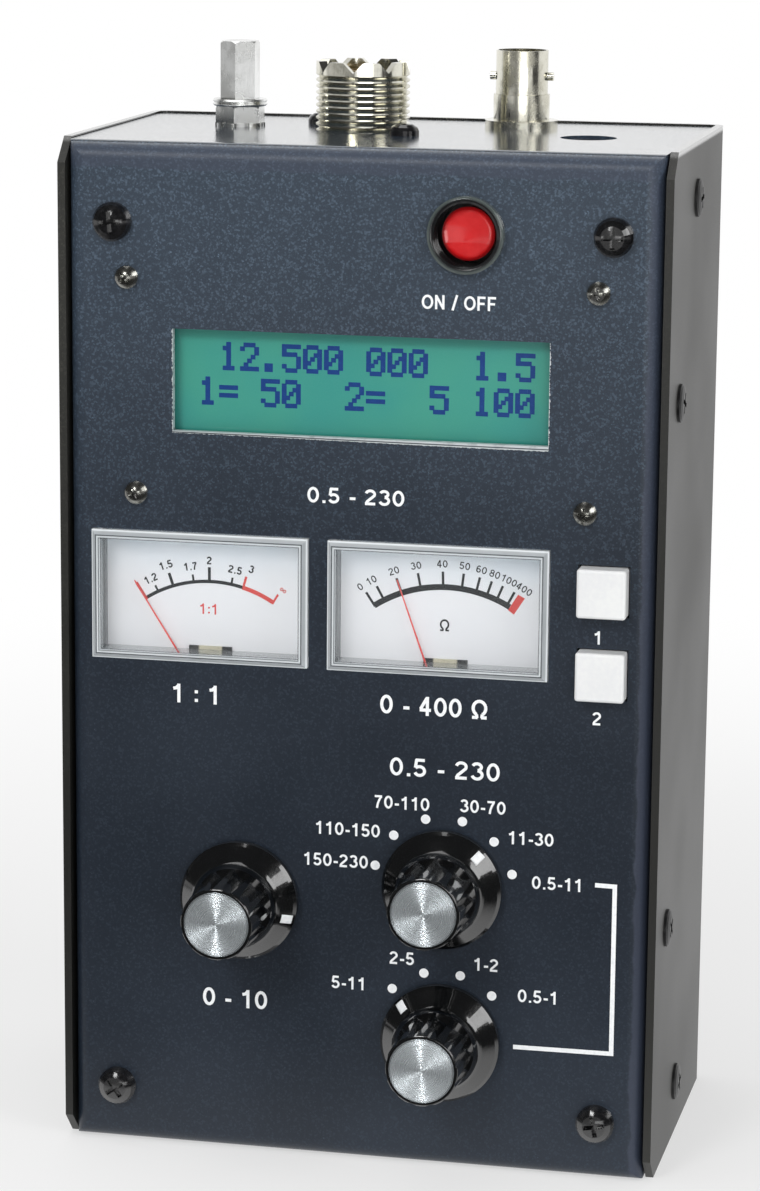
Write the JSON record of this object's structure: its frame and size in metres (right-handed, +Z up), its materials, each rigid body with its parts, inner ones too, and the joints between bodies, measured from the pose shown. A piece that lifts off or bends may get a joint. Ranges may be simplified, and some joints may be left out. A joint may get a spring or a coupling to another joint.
{
  "type": "antenna analyzer",
  "caption": "Handheld antenna analyzer: folded steel case, two-line display, two needle meters, three knobs, three push buttons, top antenna and counter sockets.",
  "frame": {"origin": "under the middle of the case, on the surface it stands on", "axes": "+X to the right seen from the front, +Y to the back, +Z up towards the connectors"},
  "size_m": [0.1034, 0.0766, 0.1855],
  "materials": {
    "panel_paint": "fine textured powder coat",
    "cover_paint": "satin powder coat",
    "black_screw": "black oxide, glossy",
    "plated_steel": "bright plated",
    "nickel": "bright nickel plate",
    "white_insulator": "waxy white",
    "brass_contact": "bright",
    "spacer_metal": "turned",
    "board_green": "solder mask",
    "component_black": "moulded",
    "display_green": "liquid crystal behind glass",
    "meter_clear": "clear moulded cover",
    "dial_white": "printed card",
    "movement_metal": "cream moulding and dark magnet",
    "needle_red": "fine paint",
    "knob_black": "glossy moulding",
    "spun_aluminium": "spun, radial glint",
    "button_red": "glossy",
    "bezel_black": "satin",
    "button_white": "satin",
    "tray_black": "moulded",
    "cell_sleeve": "plain sleeve"
  },
  "bodies": {
    "case": {"antenna_contact": "brass_contact", "antenna_insulator": "white_insulator", "antenna_screws": "black_screw", "antenna_socket": "nickel", "band_switch": "component_black", "battery_cells": "cell_sleeve", "battery_tray": "tray_black", "board_parts": "component_black", "board_screws": "black_screw", "board_spacers": "spacer_metal", "control_nuts": "plated_steel", "counter_contact": "brass_contact", "counter_insulator": "white_insulator", "counter_nut": "plated_steel", "counter_socket": "nickel", "cover_screws": "black_screw", "display_board": "board_green", "display_frame": "plated_steel", "display_glass": "display_green", "display_screws": "black_screw", "display_spacers": "spacer_metal", "front_panel": "panel_paint", "gate_switch": "component_black", "ground_nut": "plated_steel", "ground_stud": "plated_steel", "ground_washers": "plated_steel", "left_meter_case": "component_black", "left_meter_dial": "dial_white", "left_meter_lens": "meter_clear", "left_meter_movement": "movement_metal", "low_band_switch": "component_black", "main_board": "board_green", "mode_switch": "component_black", "power_bezel": "bezel_black", "power_jack": "component_black", "power_switch": "component_black", "rear_cover": "cover_paint", "right_meter_case": "component_black", "right_meter_dial": "dial_white", "right_meter_lens": "meter_clear", "right_meter_movement": "movement_metal", "tray_screws": "black_screw", "tune_capacitor": "component_black"},
    "tune_control": {"tune_knob": "knob_black", "tune_knob_cap": "spun_aluminium", "tune_shaft": "plated_steel"},
    "band_control": {"band_knob": "knob_black", "band_knob_cap": "spun_aluminium", "band_shaft": "plated_steel"},
    "low_band_control": {"low_band_knob": "knob_black", "low_band_knob_cap": "spun_aluminium", "low_band_shaft": "plated_steel"},
    "left_needle": {"left_meter_needle": "needle_red"},
    "right_needle": {"right_meter_needle": "needle_red"},
    "power_plunger": {"power_button": "button_red"},
    "gate_plunger": {"gate_button": "button_white"},
    "mode_plunger": {"mode_button": "button_white"},
    "ground_terminal": {"ground_post": "plated_steel"}
  },
  "joints": [
    {"name": "tune_turn", "type": "hinge", "parent": "case", "child": "tune_control", "pos_m": [-0.0197, -0.03, 0.0449], "axis": [0, -1, 0], "range_deg": [0, 180]},
    {"name": "band_turn", "type": "hinge", "parent": "case", "child": "band_control", "pos_m": [0.015, -0.03, 0.0491], "axis": [0, -1, 0], "range_deg": [-30, 120]},
    {"name": "low_band_turn", "type": "hinge", "parent": "case", "child": "low_band_control", "pos_m": [0.015, -0.03, 0.0225], "axis": [0, -1, 0], "range_deg": [-90, 0]},
    {"name": "left_needle_swing", "type": "hinge", "parent": "case", "child": "left_needle", "pos_m": [-0.02673, -0.0242, 0.0769], "axis": [0, 1, 0], "range_deg": [0, 64.5], "stiffness_Nm_per_rad": 0.0001},
    {"name": "right_needle_swing", "type": "hinge", "parent": "case", "child": "right_needle", "pos_m": [0.01353, -0.0242, 0.0769], "axis": [0, 1, 0], "range_deg": [-12.6, 52], "stiffness_Nm_per_rad": 0.0001},
    {"name": "power_latch", "type": "slide", "parent": "case", "child": "power_plunger", "axis": [0, -1, 0], "range_m": [-0.0005, 0.0025]},
    {"name": "gate_press", "type": "slide", "parent": "case", "child": "gate_plunger", "axis": [0, 1, 0], "range_m": [0, 0.0015], "stiffness_N_per_m": 300},
    {"name": "mode_press", "type": "slide", "parent": "case", "child": "mode_plunger", "axis": [0, 1, 0], "range_m": [0, 0.0015], "stiffness_N_per_m": 300},
    {"name": "ground_post_turn", "type": "hinge", "parent": "case", "child": "ground_terminal", "pos_m": [-0.0292, 0.006, 0.1758], "axis": [0, 0, 1], "range_deg": [0, 360]}
  ]
}
